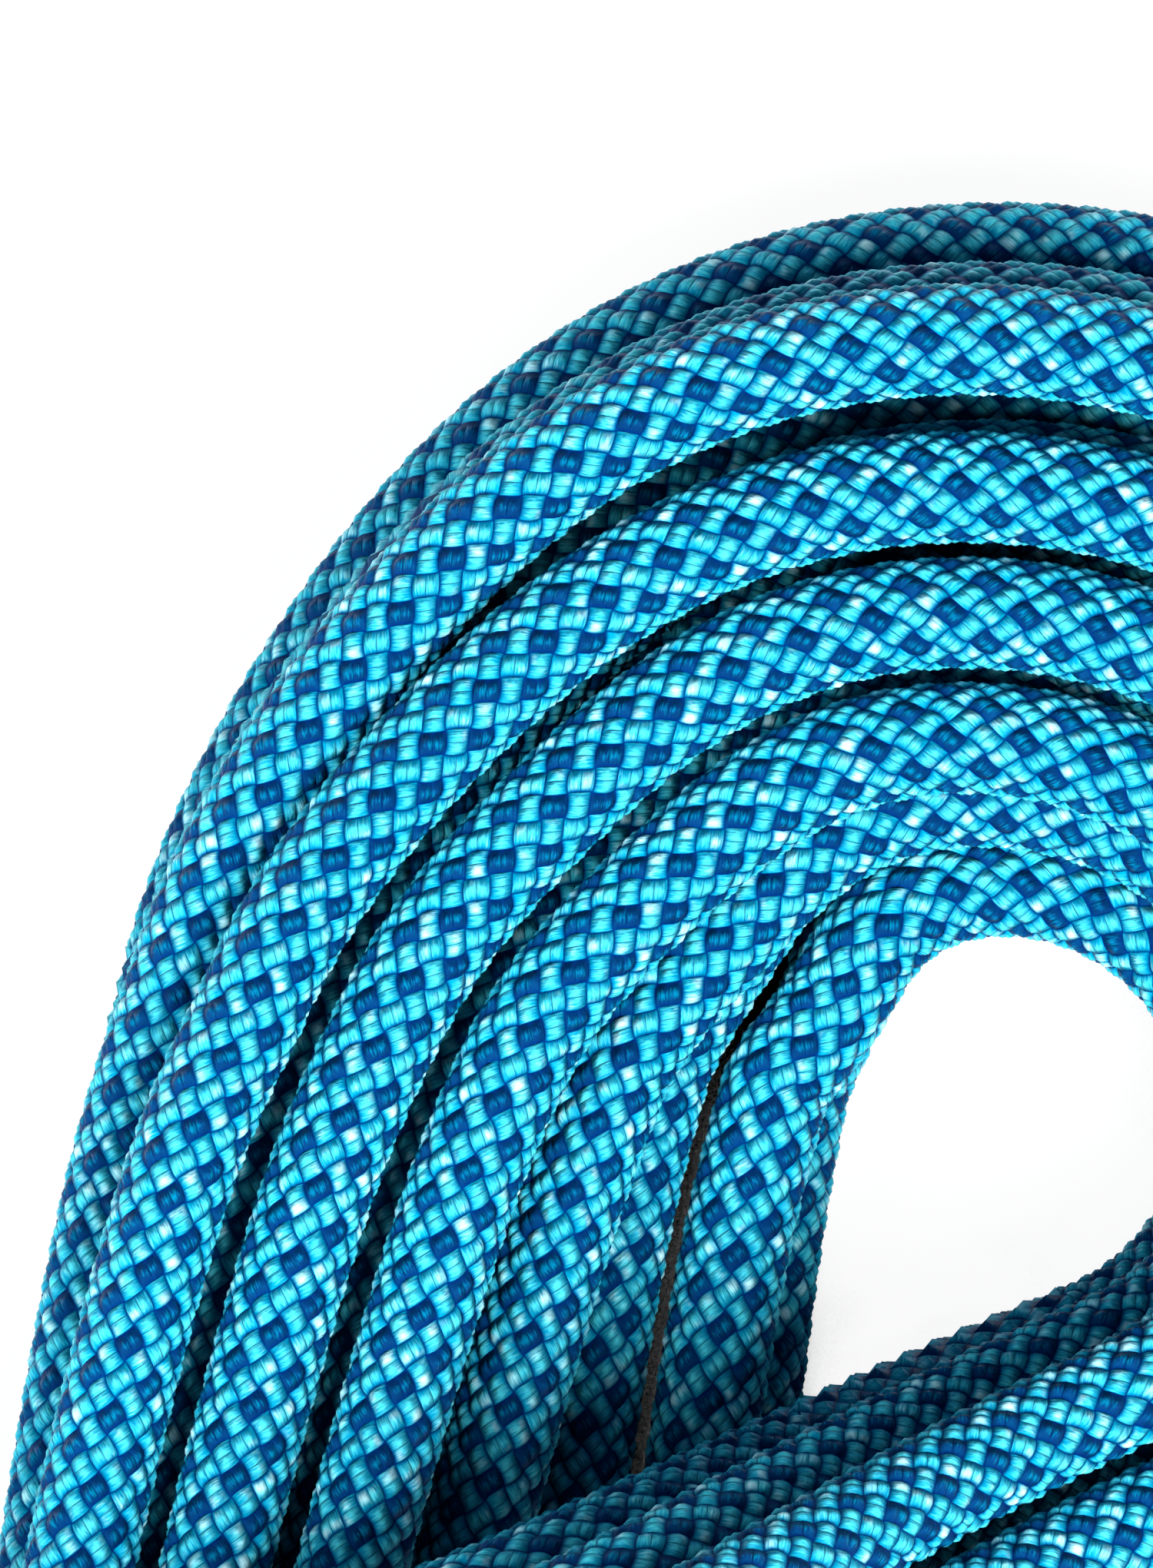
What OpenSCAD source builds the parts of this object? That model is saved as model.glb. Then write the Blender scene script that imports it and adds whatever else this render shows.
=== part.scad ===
// Dynamic climbing rope, hanked in a figure of eight and laid flat.
// +Z is up, +Y runs along the hank, the origin is under its middle.
// Eighteen loops lie in four layers as one unbroken rope, and each end has
// its own sheath, core strands, marker tape, label, sleeve and sealed tip.

/* [Rope] */
// Diameter of the rope
rope_d = 9.8; // [9:0.1:10.5]
// Thickness of the braided sheath
sheath_wall = 1.2; // [1:0.05:1.3]
// Share of the diameter that the floor presses flat under the lowest layer
press_share = 0.1; // [0.05:0.01:0.12]

/* [Hank] */
// Middle radius of the upper lobe
lobe_r = 46; // [45:0.5:50]
// Distance from the crossing to the middle of the upper lobe
lobe_reach = 93; // [91:0.5:98]
// Size of the lower lobe against the upper one
lower_scale = 1.22; // [1.2:0.01:1.3]
// Gap between neighbours in one layer
lane_gap = 0.55; // [0.5:0.05:0.8]
// Gap between layers
layer_gap = 0.8; // [0.6:0.05:1]
// Extra gap where one leg crosses the other
crossing_gap = 1.2; // [1.2:0.1:2]

/* [Core] */
// Number of core strands round the marker tape
core_strands = 6; // [5:1:6]
// Diameter of one core strand
strand_d = 2.15; // [2:0.05:2.15]
// Length in which a core strand turns once
strand_pitch = 140; // [120:10:200]
// Width of the marker tape
tape_w = 1.7; // [1:0.1:1.8]
// Thickness of the marker tape
tape_t = 0.3; // [0.2:0.05:0.4]

/* [End fittings] */
// Length of the heat-shrink sleeve
sleeve_len = 34; // [25:1:36]
// Wall of the heat-shrink sleeve
sleeve_wall = 0.3; // [0.25:0.05:0.5]
// Length of the printed label band under the sleeve
label_len = 26; // [15:1:30]
// Thickness of the label band
label_t = 0.15; // [0.1:0.01:0.2]
// Clearance between sheath, label and sleeve
wrap_gap = 0.03; // [0.02:0.01:0.05]
// Length of the heat-sealed tip
tip_len = 5; // [3:0.5:8]
// Rounding of the tip's edge
tip_round = 1.6; // [0.5:0.1:2.5]
// Bare sheath between the sleeve and the tip
tip_bare = 3; // [1:0.5:5]

/* [Hidden] */

// Loops of the hank; the layers hold 4, 6, 4 and 4 of them from the floor up
loops = 18;

// Rings in one loop: leg, upper lobe, leg, leg, lower lobe, leg
loop_steps = [2, 7, 3, 3, 7, 2];
cord_sides = 6;

lane = rope_d + lane_gap;
layer = rope_d + layer_gap;
floor_z = rope_d / 2 - rope_d * press_share;

// Middle line of one loop: two legs that cross at the origin, two lobes
half_angle = asin(lobe_r / lobe_reach);
leg = sqrt(lobe_reach * lobe_reach - lobe_r * lobe_r);
lobe_arc = lobe_r * (180 + 2 * half_angle) * PI / 180;
upper_len = 2 * leg + lobe_arc;
lower_len = upper_len * lower_scale;
loop_len = upper_len + lower_len;

// Lanes of the outer and inner strands of each layer, in lane widths off the
// middle line, at twelve even stations along a loop; plus is the side that
// faces the hole of the upper lobe. The outer column sinks by one layer
// beside the crossing, by the share in column_sink.
top_edge     = [-2.85, -2.83, -2.25, -1.70, -1.05, -1.35,
                -1.55, -1.55, -1.55, -1.55, -1.90, -2.50];
top_outer    = [-2.60, -2.35, -1.05, -0.60,  0.00, -0.30,
                -0.50, -0.50, -0.50, -0.50, -0.85, -1.40];
top_inner    = [-0.50, -0.05,  1.05,  1.55,  2.10,  1.80,
                 1.60,  1.60,  1.60,  1.60,  1.25,  0.70];
third_edge   = [-2.85, -2.83, -2.42, -2.20, -2.10, -2.05,
                -2.05, -2.05, -2.05, -2.05, -2.30, -2.65];
third_outer  = [-1.80, -1.74, -1.10, -0.90, -0.50, -0.80,
                -1.00, -1.00, -1.00, -1.00, -1.20, -1.55];
third_inner  = [ 0.35,  0.85,  1.55,  1.85,  2.40,  2.25,
                 2.00,  2.00,  2.00,  2.00,  1.70,  1.00];
second_edge  = [-2.85, -2.83, -2.90, -2.85, -2.75, -2.65,
                -2.60, -2.60, -2.60, -2.60, -2.65, -2.75];
second_outer = [-1.75, -1.73, -1.75, -1.70, -1.55, -1.55,
                -1.53, -1.53, -1.53, -1.53, -1.60, -1.70];
second_inner = [ 2.40,  2.36,  2.40,  2.40,  2.50,  2.55,
                 2.55,  2.55,  2.55,  2.55,  2.50,  2.40];
floor_outer  = [-1.70, -1.65, -1.75, -2.40, -2.40, -2.30,
                -2.30, -1.65, -1.65, -1.65, -1.65, -1.70];
floor_inner  = [ 2.85,  2.65,  2.20,  2.20,  2.40,  2.50,
                 2.55,  2.55,  2.55,  2.55,  2.60,  2.75];
column_sink  = [1, 1, 0, 0, 0, 0, 0, 0, 0, 0, 0, 0.5];

// The lengths below are set for a lobe that reaches set_reach from the
// crossing, and grow with it
set_reach = 93;
reach_size = lobe_reach / set_reach;
// The ramps also grow with the width of the crossing legs
set_lane = 10.35;
ramp_size = reach_size * lane / set_lane;

// Where the rope leaves a lane for the next one, in the lower lobe
shift_start = 480 * reach_size;
shift_len = 165 * reach_size;
climb_bulge = 1.15;
entry_lane = 1.6;
exit_lane = 1.12;
// Share of the change of lane in which a strand that climbs also rises
climb_from = 0.2;
climb_share = 0.6;

// The outer side of the first leg is drawn in a little past the crossing
hip_in = 3.5;
hip_at = 100 * reach_size;
hip_len = 22 * reach_size;

// Ramps of the leg that passes over: the level stretch beside the crossing
// and the foot of each ramp, measured from the crossing along the leg
hump_h = 4 * layer + crossing_gap;
upper_ramp = [14, 83] * ramp_size;
lower_ramp = [43, 115] * ramp_size;
ramp_spread = 0.36;
// Where the spread of the layers begins and ends on each ramp, and how soft
upper_spread = [6, 34, 112, 40] * ramp_size;
lower_spread = [36, 36, 155, 45] * ramp_size;
// Length in which the rope's start comes down from the free end's height
start_fall = 140;

// Free ends: lengths and radii worked out from the fittings
bore_r = rope_d / 2 - sheath_wall;
label_r = rope_d / 2 + wrap_gap;
sleeve_r = label_r + label_t + wrap_gap;
sleeve_out = sleeve_r + sleeve_wall;
core_r = strand_d + 0.1;
rest_z = sleeve_out;
end_sides = 12;
strand_sides = 6;

// Hand-set route of each free end, away from the hank, for a lower lobe that
// reaches route_reach; the last stretch is straight and carries the fittings
route_reach = 169.58;
route_size = (lobe_reach + lobe_r) * lower_scale / route_reach;
lower_route = [[-97.5, -146], [-105, -130], [-110, -110], [-113, -90],
               [-117, -45]];
upper_route = [[-32, -186], [-15, -192], [2, -193.5], [19, -192],
               [60, -182]];

// ---- plain helpers ----

function ease(x) = let (t = min(1, max(0, x))) t * t * (3 - 2 * t);
function blend(a, b, t) = a + (b - a) * t;
function unit(v) = v / norm(v);
function level(v) = unit([v[0], v[1], 0]);
function flatten(lists) = [for (list = lists) each list];

// Smooth curve through the twelve values of a station list
function along(list, s) =
    let (x = s / loop_len * 12, i = floor(x), t = x - i,
         a = list[(i + 11) % 12], b = list[i % 12],
         c = list[(i + 1) % 12], d = list[(i + 2) % 12])
    (2 * b + (c - a) * t + (2 * a - 5 * b + 4 * c - d) * t * t
     + (3 * b - a - 3 * c + d) * t * t * t) / 2;

// Middle line at s: place and heading
function middle(s) =
    let (low = s >= upper_len,
         k = low ? lower_scale : 1,
         q = low ? (s - upper_len) / lower_scale : s,
         turn = min(180 + 2 * half_angle,
                    max(0, (q - leg) / lobe_r * 180 / PI)),
         a = turn - half_angle,
         x = q < leg ? -q * sin(half_angle)
           : q > leg + lobe_arc ? (upper_len - q) * sin(half_angle)
           : -lobe_r * cos(a),
         y = q < leg ? q * cos(half_angle)
           : q > leg + lobe_arc ? (upper_len - q) * cos(half_angle)
           : lobe_reach + lobe_r * sin(a),
         side = low ? -1 : 1)
    [k * x, side * k * y, sin(a), side * cos(a)];

// ---- lanes: the offset and the height of each place in the pile ----

function sink(s) = min(1, max(0, along(column_sink, s)));

// Place p counts along the rope: floor layer inwards to outwards, then the
// layers above by turns; the answer is [lane, layer]
function place(p, s) =
    p < 0 ? [along(floor_inner, s) + entry_lane, 0]
    : p < 4 ? [blend(along(floor_outer, s), along(floor_inner, s),
                     (3 - p) / 3), 0]
    : p == 4 ? [along(second_edge, s), 1 - sink(s)]
    : p < 10 ? [blend(along(second_outer, s), along(second_inner, s),
                      (p - 5) / 4), 1]
    : p < 13 ? [blend(along(third_inner, s), along(third_outer, s),
                      (p - 10) / 2), 2]
    : p == 13 ? [along(third_edge, s), 2 - sink(s)]
    : p == 14 ? [along(top_edge, s), 3 - sink(s)]
    : p < 18 ? [blend(along(top_outer, s), along(top_inner, s),
                      (p - 15) / 2), 3]
    : [along(top_inner, s) + exit_lane, 3];

// The rope climbs on the side where its layer ends
function climb_side(p) = p == 3 || p == 13 ? -1 : p == 9 ? 1 : 0;

function hump(s) =
    let (d = s - upper_len)
    hump_h * (1 - (d < 0
        ? ease((-d - upper_ramp[0]) / (upper_ramp[1] - upper_ramp[0]))
        : ease((d - lower_ramp[0]) / (lower_ramp[1] - lower_ramp[0]))));

// Layers stand further apart where the ramps are steep
function spread(s) =
    let (d = s - upper_len, e = abs(d),
         w = d < 0 ? upper_spread : lower_spread)
    1 + ramp_spread * ease((w[2] - e) / w[3]) * ease((e - w[0]) / w[1]);

hank_start = upper_len
    + lower_scale * (leg + lobe_arc * 2 / loop_steps[4]);
hank_end = hank_start + loops * loop_len;

// Centre of the rope at the running length g
function rope_at(g) =
    let (s = g % loop_len,
         p = floor((g - shift_start) / loop_len),
         f = ease((g - shift_start - p * loop_len) / shift_len),
         from = place(p - 1, s),
         to = place(p, s),
         side = climb_side(p - 1),
         off = (blend(from[0], to[0], f)
                + side * climb_bulge * sin(180 * f)) * lane
               + hip_in * exp(-pow((s - hip_at) / hip_len, 2)),
         rise = blend(from[1], to[1],
                      side == 0 ? f : ease((f - climb_from) / climb_share)),
         start_lift = (rest_z - floor_z)
                      * (1 - ease((g - hank_start) / start_fall)),
         m = middle(s))
    [m[0] + m[3] * off,
     m[1] - m[2] * off,
     floor_z + hump(s) + rise * layer * spread(s) + start_lift];

// Running lengths of the rings
part_lens = [leg, lobe_arc, leg, leg * lower_scale,
             lobe_arc * lower_scale, leg * lower_scale];
part_from = [for (i = 0, p = 0; i < 6; p = p + part_lens[i], i = i + 1) p];
loop_rings = flatten([for (i = [0:5]) [for (j = [0:loop_steps[i] - 1])
    part_from[i] + part_lens[i] * j / loop_steps[i]]]);
ring_g = concat(
    [hank_start],
    [for (k = [0:loops]) for (s = loop_rings)
        let (g = s + k * loop_len)
        if (g > hank_start + 1 && g < hank_end - 1) g],
    [hank_end]);

start_dir = level(rope_at(hank_start) - rope_at(hank_start + 1));
end_dir = level(rope_at(hank_end) - rope_at(hank_end - 1));
start_face = rope_at(hank_start) + start_dir * rope_d;
end_face = rope_at(hank_end) + end_dir * rope_d;
hank_set = concat([start_face], [for (g = ring_g) rope_at(g)], [end_face]);

// Free ends: from the hank's face, straight for one diameter, then the route
lower_set = concat(
    [start_face, start_face + start_dir * rope_d],
    [for (p = lower_route * route_size) [p[0], p[1], start_face[2]]]);
upper_set = concat(
    [end_face, end_face + end_dir * rope_d],
    [for (p = upper_route * route_size) [p[0], p[1], end_face[2]]]);

// Heading at point i: mean of the two stretches that meet there
function heading(p, i) =
    i == 0 ? unit(p[1] - p[0])
    : i == len(p) - 1 ? unit(p[i] - p[i - 1])
    : unit(unit(p[i] - p[i - 1]) + unit(p[i + 1] - p[i]));

// One ring of a tube, its first corner level with the centre
function ring(c, t, r, sides) =
    let (side = unit(cross(t, [0, 0, 1])), up = cross(side, t))
    [for (j = [0:sides - 1])
        c + r * (cos(360 * j / sides) * side + sin(360 * j / sides) * up)];

function rings(p, r, sides) = flatten([for (i = [0:len(p) - 1])
    ring(p[i], heading(p, i), r, sides)]);

// Rings at both ends of the sleeve and at the tip of a free end
function fitting_rings(p) =
    let (n = len(p) - 1, t = heading(p, n), far = p[n])
    concat(ring(far - t * tip_bare, t, sleeve_out, 64),
           ring(far - t * (tip_bare + sleeve_len), t, sleeve_out, 64),
           ring(far + t * tip_len, t, rope_d / 2 - tip_round, 64));

// Moves everything so that the origin is under the middle of the box
outline = concat(rings(hank_set, rope_d / 2, cord_sides),
                 rings(lower_set, rope_d / 2, end_sides),
                 rings(upper_set, rope_d / 2, end_sides),
                 fitting_rings(lower_set), fitting_rings(upper_set));
xs = [for (p = outline) p[0]];
ys = [for (p = outline) p[1]];
home = [-(min(xs) + max(xs)) / 2, -(min(ys) + max(ys)) / 2, 0];
hank_line = [for (p = hank_set) p + home];
lower_line = [for (p = lower_set) p + home];
upper_line = [for (p = upper_set) p + home];

// ---- least gap, measured on points of the centre line ----

function line_len(p) = [for (i = 0, t = 0; i < len(p) - 1;
    t = t + norm(p[i + 1] - p[i]), i = i + 1) norm(p[i + 1] - p[i])];
function total(v) = [for (x = v) 1] * v;

gap_steps = 96;
// Step of the points on the crossing legs, which are measured over the ramps
leg_step = 6;
module report_gaps() {
    beside = [for (i = [0:gap_steps - 1])
        [for (k = [0:loops - 1])
            rope_at(hank_start + loop_len * (k + i / gap_steps))]];
    beside_least = min([for (i = [0:gap_steps - 1]) for (j = [-2:2])
        for (a = [0:loops - 1]) for (b = [0:loops - 1])
            let (c = (i + j + gap_steps) % gap_steps)
            if (a != b && abs((a - b) * gap_steps + i - c) > 6)
                norm(beside[i][a] - beside[c][b])]);
    low = [for (k = [1:loops]) for (d = [-lower_ramp[1]:leg_step:lower_ramp[1]])
        rope_at(k * loop_len + d)];
    high = [for (k = [1:loops])
        for (d = [-upper_ramp[1]:leg_step:lower_ramp[1]])
            rope_at(k * loop_len + upper_len + d)];
    over_least = min([for (a = low) for (b = high) norm(a - b)]);
    echo(hank_loops = loops, least_gap_beside = beside_least - rope_d,
         least_gap_crossing = over_least - rope_d);
    echo(hank_length_m = total(line_len(hank_line)) / 1000,
         rope_length_m = (total(line_len(hank_line))
             + total(line_len(lower_line)) + total(line_len(upper_line))
             + 2 * tip_len) / 1000, home = home);
}

// ---- tubes along a line of points ----

function band(a, b, n) = flatten([for (j = [0:n - 1])
    let (k = (j + 1) % n)
    [[a + j, a + k, b + k], [a + j, b + k, b + j]]]);

// Solid tube: rings along line q in the planes of line p, a fan on each end
module cord(q, p, r, sides) {
    n = len(p);
    points = flatten([for (i = [0:n - 1]) ring(q[i], heading(p, i), r, sides)]);
    skin = flatten([for (i = [0:n - 2]) band(i * sides, (i + 1) * sides, sides)]);
    last = (n - 1) * sides;
    caps = flatten([for (j = [1:sides - 2])
        [[0, j + 1, j], [last, last + j, last + j + 1]]]);
    polyhedron(points = points, faces = concat(skin, caps), convexity = 10);
}

// Tube with a bore
module hose(p, r, bore, sides) {
    n = len(p);
    m = n * sides;
    last = (n - 1) * sides;
    skin = flatten([for (i = [0:n - 2]) concat(
        band(i * sides, (i + 1) * sides, sides),
        band(m + (i + 1) * sides, m + i * sides, sides))]);
    ends = concat(band(m, 0, sides), band(last, m + last, sides));
    polyhedron(points = concat(rings(p, r, sides), rings(p, bore, sides)),
               faces = concat(skin, ends), convexity = 10);
}

// The same line with a point halfway along each stretch, and along the
// last, straight one, a point in each step
last_steps = 5;
function finer(p) = concat(
    flatten([for (i = [0:len(p) - 3]) [p[i], (p[i] + p[i + 1]) / 2]]),
    [for (j = [0:last_steps])
        blend(p[len(p) - 2], p[len(p) - 1], j / last_steps)]);

// Lengths from the start of a line to each of its points
function run(p) = [for (i = 0, t = 0; i < len(p);
    t = i < len(p) - 1 ? t + norm(p[i + 1] - p[i]) : t, i = i + 1) t];

// Line of one core strand, which winds round line p
function strand_line(p, number) =
    let (far = run(p))
    [for (i = [0:len(p) - 1])
        let (t = heading(p, i), side = unit(cross(t, [0, 0, 1])),
             up = cross(side, t),
             a = 360 * (far[i] / strand_pitch + number / core_strands))
        p[i] + core_r * (cos(a) * side + sin(a) * up)];

module core_bundle(p) {
    for (number = [0:core_strands - 1])
        cord(strand_line(p, number), p, strand_d / 2, strand_sides);
}

// Marker tape: a flat strip along the middle of the core
module tape_strip(p) {
    n = len(p);
    points = flatten([for (i = [0:n - 1])
        let (t = heading(p, i), side = unit(cross(t, [0, 0, 1])),
             up = cross(side, t))
        [p[i] + side * tape_w / 2 - up * tape_t / 2,
         p[i] + side * tape_w / 2 + up * tape_t / 2,
         p[i] - side * tape_w / 2 + up * tape_t / 2,
         p[i] - side * tape_w / 2 - up * tape_t / 2]]);
    skin = flatten([for (i = [0:n - 2]) band(i * 4, i * 4 + 4, 4)]);
    last = (n - 1) * 4;
    caps = [[0, 2, 1], [0, 3, 2],
            [last, last + 1, last + 2], [last, last + 2, last + 3]];
    polyhedron(points = points, faces = concat(skin, caps), convexity = 4);
}

// Puts a fitting on a line's straight last stretch, back from its end
module at_end(p, back) {
    tip = p[len(p) - 1];
    dir = tip - p[len(p) - 2];
    translate(tip) rotate([0, 90, atan2(dir[1], dir[0])])
        translate([0, 0, -back]) children();
}

module pipe(r_out, r_in, length) {
    difference() {
        cylinder(r = r_out, h = length, $fn = 64);
        translate([0, 0, -1]) cylinder(r = r_in, h = length + 2, $fn = 64);
    }
}

// ---- the pieces ----

module rope_hank() color([0.05, 0.62, 0.78]) {
    span = 1000;
    intersection() {
        cord(hank_line, hank_line, rope_d / 2, cord_sides);
        translate([-span / 2, -span / 2, 0]) cube(span);
    }
}

module rope_sheath(p) color([0.10, 0.70, 0.86])
    hose(p, rope_d / 2, bore_r, end_sides);

module rope_core(p) color([0.93, 0.93, 0.90]) core_bundle(finer(p));

module marker_tape(p) color([0.86, 0.80, 0.25]) tape_strip(finer(p));

module label_band(p) color([0.92, 0.93, 0.94])
    at_end(p, tip_bare + (sleeve_len + label_len) / 2)
        pipe(label_r + label_t, label_r, label_len);

module end_sleeve(p) color([0.72, 0.76, 0.80])
    at_end(p, tip_bare + sleeve_len)
        pipe(sleeve_out, sleeve_r, sleeve_len);

// Heat-sealed tip: a short solid end with a rounded edge
module sealed_tip(p) color([0.05, 0.30, 0.45])
    at_end(p, 0)
        rotate_extrude($fn = 64) {
            square([rope_d / 2 - tip_round, tip_len]);
            square([rope_d / 2, tip_len - tip_round]);
            translate([rope_d / 2 - tip_round, tip_len - tip_round])
                intersection() {
                    circle(r = tip_round, $fn = 32);
                    square(tip_round);
                }
        }

rope_hank();
report_gaps();  // rope_hank
rope_sheath(lower_line);  // sheath_lower_end
rope_core(lower_line);  // core_lower_end
marker_tape(lower_line);  // tape_lower_end
label_band(lower_line);  // label_lower_end
end_sleeve(lower_line);  // sleeve_lower_end
sealed_tip(lower_line);  // tip_lower_end
rope_sheath(upper_line);  // sheath_upper_end
rope_core(upper_line);  // core_upper_end
marker_tape(upper_line);  // tape_upper_end
label_band(upper_line);  // label_upper_end
end_sleeve(upper_line);  // sleeve_upper_end
sealed_tip(upper_line);  // tip_upper_end
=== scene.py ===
import math

import bpy
import numpy as np
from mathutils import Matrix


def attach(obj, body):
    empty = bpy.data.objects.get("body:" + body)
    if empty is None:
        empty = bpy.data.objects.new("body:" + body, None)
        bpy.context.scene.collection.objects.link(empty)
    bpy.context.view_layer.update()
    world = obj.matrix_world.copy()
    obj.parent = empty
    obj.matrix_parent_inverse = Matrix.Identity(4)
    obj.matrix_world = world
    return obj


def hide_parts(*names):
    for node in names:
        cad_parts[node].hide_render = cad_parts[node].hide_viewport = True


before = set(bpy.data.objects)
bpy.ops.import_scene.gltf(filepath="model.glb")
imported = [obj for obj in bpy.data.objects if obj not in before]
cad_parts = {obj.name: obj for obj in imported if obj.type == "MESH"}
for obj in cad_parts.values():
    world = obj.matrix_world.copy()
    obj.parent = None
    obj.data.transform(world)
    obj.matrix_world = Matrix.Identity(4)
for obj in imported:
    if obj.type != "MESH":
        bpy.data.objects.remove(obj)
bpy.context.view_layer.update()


# ---------------------------------------------------------------- table and lamps
# The rope lies on a plain white table under two broad soft lamps, and is looked
# at from straight above, close over its upper lobe.

# Metres: the table's point under the lens, the table's direction that is up in the
# picture, and the stretch that the picture's height spans at the rope's own height
view_centre = np.array([-0.0303, 0.1114])
view_up = np.array([-0.62, 0.7846])
view_height = 1.15
view_long_side = 0.1351
view_subject_height = 0.035
view_shape = 1500 / 2040

camera = bpy.data.objects.new("camera", bpy.data.cameras.new("camera"))
bpy.context.scene.collection.objects.link(camera)
camera.data.sensor_width = 36
camera.data.lens = 36 * (view_height - view_subject_height) / view_long_side
camera.data.clip_start = 0.01
camera.data.clip_end = 20
camera.location = (*view_centre, view_height)
camera.rotation_euler = (0, 0, math.atan2(-view_up[0], view_up[1]))
bpy.context.scene.camera = camera

bpy.context.scene.view_settings.view_transform = "Standard"


def add(tree, kind, *values, **settings):
    """One shader node: each value feeds the input of its place, as a link or a constant."""
    made = tree.nodes.new(kind)
    for name, value in settings.items():
        setattr(made, name, value)
    for index, value in enumerate(values):
        if isinstance(value, bpy.types.NodeSocket):
            tree.links.new(value, made.inputs[index])
        elif value is not None:
            made.inputs[index].default_value = value
    return made


def new_material(name):
    """An empty node material and its output node."""
    material = bpy.data.materials.new(name)
    material.use_nodes = True
    material.node_tree.nodes.clear()
    return material, add(material.node_tree, "ShaderNodeOutputMaterial")


def new_mesh(name, points, faces, uv=None):
    """A smooth mesh object from arrays: points (n, 3), faces (m, 3 or 4), uv a pair per face corner."""
    mesh = bpy.data.meshes.new(name)
    mesh.vertices.add(len(points))
    mesh.vertices.foreach_set("co", np.ascontiguousarray(points, np.float32).ravel())
    corners = faces.shape[1]
    mesh.loops.add(faces.size)
    mesh.loops.foreach_set("vertex_index", np.ascontiguousarray(faces, np.int32).ravel())
    mesh.polygons.add(len(faces))
    mesh.polygons.foreach_set("loop_start", np.arange(0, faces.size, corners, dtype=np.int32))
    if uv is not None:
        layer = mesh.uv_layers.new(name="braid")
        layer.data.foreach_set("uv", np.ascontiguousarray(uv, np.float32).ravel())
    mesh.update(calc_edges=True)
    mesh.validate()
    mesh.polygons.foreach_set("use_smooth", np.full(len(mesh.polygons), True))
    made = bpy.data.objects.new(name, mesh)
    bpy.context.scene.collection.objects.link(made)
    return made


table_size = 6.0
corner = table_size / 2
table = new_mesh(
    "table",
    np.array([[-corner, -corner, 0], [corner, -corner, 0], [corner, corner, 0], [-corner, corner, 0]]),
    np.array([[0, 1, 2, 3]]),
)
table_white, table_out = new_material("table_white")
tree = table_white.node_tree
# The table shows white, but its colour is painted dark down the narrow gaps between strands, as painted
# shade:
# from the lower to the upper of these openings it turns from dark to white
gap_openness = (0.14, 0.27)
openness = add(tree, "ShaderNodeAmbientOcclusion", samples=16)
openness.inputs["Distance"].default_value = 0.03
white_with_painted_gap_shade = add(tree, "ShaderNodeMapRange", openness.outputs["AO"], *gap_openness, 0.01, 0.9)
matt = add(tree, "ShaderNodeBsdfDiffuse", white_with_painted_gap_shade.outputs[0])
plain = add(tree, "ShaderNodeEmission", (1, 1, 1, 1), 1.0)
seen = add(tree, "ShaderNodeLightPath")
opened = add(tree, "ShaderNodeMapRange", openness.outputs["AO"], *gap_openness, 0.0, 0.95)
lit_share = add(
    tree, "ShaderNodeMath", seen.outputs["Is Camera Ray"], opened.outputs[0], operation="MULTIPLY"
)
mixed = add(tree, "ShaderNodeMixShader", lit_share.outputs[0], matt.outputs[0], plain.outputs[0])
tree.links.new(mixed.outputs[0], table_out.inputs["Surface"])
table.data.materials.append(table_white)

world = bpy.data.worlds.new("studio")
world.use_nodes = True
bpy.context.scene.world = world
tree = world.node_tree
tree.nodes.clear()
seen = add(tree, "ShaderNodeLightPath")
room = add(tree, "ShaderNodeBackground", (0.36, 0.66, 1.0, 1), 0.17)
white = add(tree, "ShaderNodeBackground", (1, 1, 1, 1), 1.0)
mixed = add(tree, "ShaderNodeMixShader", seen.outputs["Is Camera Ray"], room.outputs[0], white.outputs[0])
tree.links.new(mixed.outputs[0], add(tree, "ShaderNodeOutputWorld").inputs["Surface"])


lobe_middle = np.array([0.0, 0.1, 0.03])


def lamp(name, position, size, power):
    """A square area lamp that faces the middle of the upper lobe: size in metres, power in watts."""
    data = bpy.data.lights.new(name, "AREA")
    data.size = size
    data.energy = power
    made = bpy.data.objects.new(name, data)
    bpy.context.scene.collection.objects.link(made)
    made.location = position
    toward = lobe_middle - np.array(position)
    made.rotation_euler = (
        math.atan2(math.hypot(toward[0], toward[1]), -toward[2]),
        0,
        math.atan2(toward[1], toward[0]) - math.pi / 2,
    )


lamp("overhead_lamp", (0.6, -0.02, 1.35), 0.6, 57.0)
lamp("front_lamp", (-0.25, -0.9, 1.1), 0.6, 33.0)


# ---------------------------------------------------------------- the rope's way
# Fifteen metres of rope, hanked in a figure of eight: eighteen loops in four
# layers, with one end lying out on the table and the other along the top.

# Lengths are in millimetres from here on, and MM turns them into metres
MM = 0.001
rope_d = 9.8
lane_gap = 0.55
layer_gap = 0.8
press_share = 0.1
sleeve_thick = 0.51
lane = rope_d + lane_gap
layer = rope_d + layer_gap
floor_z = rope_d * (0.5 - press_share)
rest_z = rope_d / 2 + sleeve_thick
crossing = np.array([17.2439, 18.0912, 0.0])

lobe_r = 46.0
lobe_reach = 93.0
lower_scale = 1.22
half_angle = math.asin(lobe_r / lobe_reach)
leg = math.sqrt(lobe_reach**2 - lobe_r**2)
lobe_arc = lobe_r * (math.pi + 2 * half_angle)
upper_len = 2 * leg + lobe_arc
loop_len = upper_len * (1 + lower_scale)
loops = 18

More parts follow.
